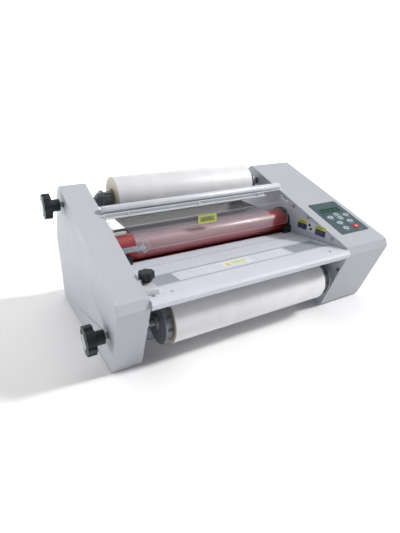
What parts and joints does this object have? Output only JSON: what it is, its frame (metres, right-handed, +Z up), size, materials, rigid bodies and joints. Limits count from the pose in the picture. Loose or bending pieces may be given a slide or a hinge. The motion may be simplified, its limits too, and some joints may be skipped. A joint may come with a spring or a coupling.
{
  "type": "roll laminator",
  "caption": "Desktop roll laminator with two side housings, red silicone rollers, film rolls above and below, a feed table, a lifting clear shield and a sloping keypad.",
  "frame": {"origin": "middle of the bounding box at floor level", "axes": "+X to the right as the operator stands at the feed table, -Y towards the operator, +Z up"},
  "size_m": [0.747, 0.4886, 0.343],
  "materials": {
    "cover_paint": "light grey textured powder coat",
    "plate_paint": "light grey smooth coat",
    "foot_rubber": "matt",
    "bearing_metal": "machined",
    "table_aluminium": "pale satin anodised",
    "scale_print": "printed grey",
    "label_sheet": "coated white",
    "guide_plastic": "white",
    "knob_black": "satin black",
    "bar_aluminium": "satin",
    "clear_acrylic": "clear, slightly smoky",
    "warning_yellow": "printed sticker",
    "bright_steel": "bright",
    "sensor_ceramic": "white",
    "clear_film": "clear glossy film",
    "spindle_metal": "dark anodised",
    "guard_black": "black",
    "core_card": "brown board",
    "wound_film": "milky wound film",
    "screw_steel": "turned",
    "roller_steel": "ground",
    "red_silicone": "smooth red silicone",
    "grey_rubber": "ground grey rubber",
    "gear_plastic": "natural nylon",
    "motor_metal": "black",
    "overlay_grey": "satin printed film",
    "lcd_glass": "green display",
    "circuit_green": "solder mask",
    "key_pale": "pale key",
    "key_red": "red key",
    "inlet_black": "black",
    "fan_black": "black"
  },
  "bodies": {
    "frame": {"bearing_blocks": "bearing_metal", "control_board": "circuit_green", "drive_motor": "motor_metal", "fan_housing": "fan_black", "feed_table": "table_aluminium", "feet": "foot_rubber", "film_webs": "clear_film", "idler_bars": "bar_aluminium", "keypad_overlay": "overlay_grey", "lcd_window": "lcd_glass", "left_cover": "cover_paint", "left_side_plate": "plate_paint", "nip_guards": "guard_black", "outfeed_tray": "plate_paint", "panel_screws": "bright_steel", "power_inlet": "inlet_black", "printed_labels": "label_sheet", "right_cover": "cover_paint", "right_side_plate": "plate_paint", "shield_rail": "bar_aluminium", "table_scale_plate": "scale_print", "temp_sensor_block": "sensor_ceramic", "tie_bars": "plate_paint", "trim_plate": "plate_paint"},
    "upper_heat_roller": {"upper_heat_core": "roller_steel", "upper_heat_sleeve": "red_silicone"},
    "lower_heat_roller": {"lower_heat_core": "roller_steel", "lower_heat_sleeve": "red_silicone"},
    "upper_pull_roller": {"upper_pull_core": "roller_steel", "upper_pull_sleeve": "grey_rubber"},
    "lower_pull_roller": {"lower_pull_core": "roller_steel", "lower_pull_sleeve": "grey_rubber"},
    "drive_idler": {"idler_gear": "gear_plastic"},
    "drive_pinion": {"motor_pinion": "roller_steel"},
    "top_supply": {"top_spindle": "spindle_metal", "top_film_core": "core_card", "top_film_roll": "wound_film"},
    "bottom_supply": {"bottom_spindle": "spindle_metal", "bottom_film_core": "core_card", "bottom_film_roll": "wound_film"},
    "top_brake": {"top_brake_knob": "knob_black", "top_brake_screw": "screw_steel"},
    "bottom_brake": {"bottom_brake_knob": "knob_black", "bottom_brake_screw": "screw_steel"},
    "shield": {"shield_panel": "clear_acrylic", "shield_arms": "clear_acrylic", "shield_label": "warning_yellow"},
    "catch": {"shield_catch": "bright_steel"},
    "side_guide": {"paper_guide": "guide_plastic"},
    "guide_clamp": {"guide_knob": "knob_black"},
    "rocker": {"power_switch": "inlet_black"},
    "fan": {"fan_rotor": "fan_black"},
    "key_cold_button": {"key_cold": "key_pale"},
    "key_down_button": {"key_down": "key_pale"},
    "key_heat_button": {"key_heat": "key_pale"},
    "key_menu_button": {"key_menu": "key_pale"},
    "key_reverse_button": {"key_reverse": "key_pale"},
    "key_run_button": {"key_run": "key_pale"},
    "key_stop_button": {"key_stop": "key_red"},
    "key_up_button": {"key_up": "key_pale"}
  },
  "joints": [
    {"name": "upper_heat_spin", "type": "hinge", "parent": "frame", "child": "upper_heat_roller", "pos_m": [-0.0145, -0.0123, 0.1965], "axis": [1, 0, 0], "continuous": true},
    {"name": "lower_heat_spin", "type": "hinge", "parent": "frame", "child": "lower_heat_roller", "pos_m": [-0.0145, -0.0123, 0.1325], "axis": [1, 0, 0], "continuous": true},
    {"name": "upper_pull_spin", "type": "hinge", "parent": "frame", "child": "upper_pull_roller", "pos_m": [-0.0145, 0.1097, 0.1865], "axis": [1, 0, 0], "continuous": true},
    {"name": "lower_pull_spin", "type": "hinge", "parent": "frame", "child": "lower_pull_roller", "pos_m": [-0.0145, 0.1097, 0.1425], "axis": [1, 0, 0], "continuous": true},
    {"name": "drive_idler_spin", "type": "hinge", "parent": "frame", "child": "drive_idler", "pos_m": [0.2615, 0.05533, 0.12539], "axis": [1, 0, 0], "continuous": true},
    {"name": "drive_pinion_spin", "type": "hinge", "parent": "frame", "child": "drive_pinion", "pos_m": [0.2615, -0.0123, 0.0845], "axis": [1, 0, 0], "continuous": true},
    {"name": "top_supply_spin", "type": "hinge", "parent": "frame", "child": "top_supply", "pos_m": [-0.0145, 0.0987, 0.291], "axis": [1, 0, 0], "continuous": true},
    {"name": "bottom_supply_spin", "type": "hinge", "parent": "frame", "child": "bottom_supply", "pos_m": [-0.0145, -0.1713, 0.087], "axis": [1, 0, 0], "continuous": true},
    {"name": "top_brake_turn", "type": "hinge", "parent": "frame", "child": "top_brake", "pos_m": [-0.3625, 0.0987, 0.291], "axis": [-1, 0, 0], "range_deg": [-360, 360]},
    {"name": "bottom_brake_turn", "type": "hinge", "parent": "frame", "child": "bottom_brake", "pos_m": [-0.3625, -0.1713, 0.087], "axis": [-1, 0, 0], "range_deg": [-360, 360]},
    {"name": "shield_lift", "type": "hinge", "parent": "frame", "child": "shield", "pos_m": [-0.0155, -0.0183, 0.2585], "axis": [-1, 0, 0], "range_deg": [0, 95]},
    {"name": "catch_swing", "type": "hinge", "parent": "shield", "child": "catch", "pos_m": [-0.2035, -0.0533, 0.205], "axis": [0, 1, 0], "range_deg": [0, 70]},
    {"name": "side_guide_slide", "type": "slide", "parent": "frame", "child": "side_guide", "axis": [1, 0, 0], "range_m": [0, 0.4]},
    {"name": "guide_clamp_turn", "type": "hinge", "parent": "side_guide", "child": "guide_clamp", "pos_m": [-0.2459, -0.1833, 0.196], "axis": [0, 0, 1], "range_deg": [0, 360]},
    {"name": "key_cold_press", "type": "slide", "parent": "frame", "child": "key_cold_button", "axis": [0, 0.405, -0.9143], "range_m": [0, 0.0008], "stiffness_N_per_m": 500},
    {"name": "key_down_press", "type": "slide", "parent": "frame", "child": "key_down_button", "axis": [0, 0.405, -0.9143], "range_m": [0, 0.0008], "stiffness_N_per_m": 500},
    {"name": "key_heat_press", "type": "slide", "parent": "frame", "child": "key_heat_button", "axis": [0, 0.405, -0.9143], "range_m": [0, 0.0008], "stiffness_N_per_m": 500},
    {"name": "key_menu_press", "type": "slide", "parent": "frame", "child": "key_menu_button", "axis": [0, 0.405, -0.9143], "range_m": [0, 0.0008], "stiffness_N_per_m": 500},
    {"name": "key_reverse_press", "type": "slide", "parent": "frame", "child": "key_reverse_button", "axis": [0, 0.405, -0.9143], "range_m": [0, 0.0008], "stiffness_N_per_m": 500},
    {"name": "key_run_press", "type": "slide", "parent": "frame", "child": "key_run_button", "axis": [0, 0.405, -0.9143], "range_m": [0, 0.0008], "stiffness_N_per_m": 500},
    {"name": "key_stop_press", "type": "slide", "parent": "frame", "child": "key_stop_button", "axis": [0, 0.405, -0.9143], "range_m": [0, 0.0008], "stiffness_N_per_m": 500},
    {"name": "key_up_press", "type": "slide", "parent": "frame", "child": "key_up_button", "axis": [0, 0.405, -0.9143], "range_m": [0, 0.0008], "stiffness_N_per_m": 500},
    {"name": "rocker_tilt", "type": "hinge", "parent": "frame", "child": "rocker", "pos_m": [0.3355, 0.2388, 0.038], "axis": [1, 0, 0], "range_deg": [0, 12]},
    {"name": "fan_spin", "type": "hinge", "parent": "frame", "child": "fan", "pos_m": [0.3035, 0.2287, 0.122], "axis": [0, 1, 0], "continuous": true}
  ],
  "couplings": [
    {"joint": "lower_heat_spin", "follows": "upper_heat_spin", "ratio": -1},
    {"joint": "drive_pinion_spin", "follows": "upper_heat_spin", "ratio": 2},
    {"joint": "drive_idler_spin", "follows": "upper_heat_spin", "ratio": 0.88889},
    {"joint": "lower_pull_spin", "follows": "upper_heat_spin", "ratio": -1.5238},
    {"joint": "upper_pull_spin", "follows": "upper_heat_spin", "ratio": 1.5238},
    {"joint": "top_supply_spin", "follows": "upper_heat_spin", "ratio": -0.59615},
    {"joint": "bottom_supply_spin", "follows": "upper_heat_spin", "ratio": 0.62}
  ]
}
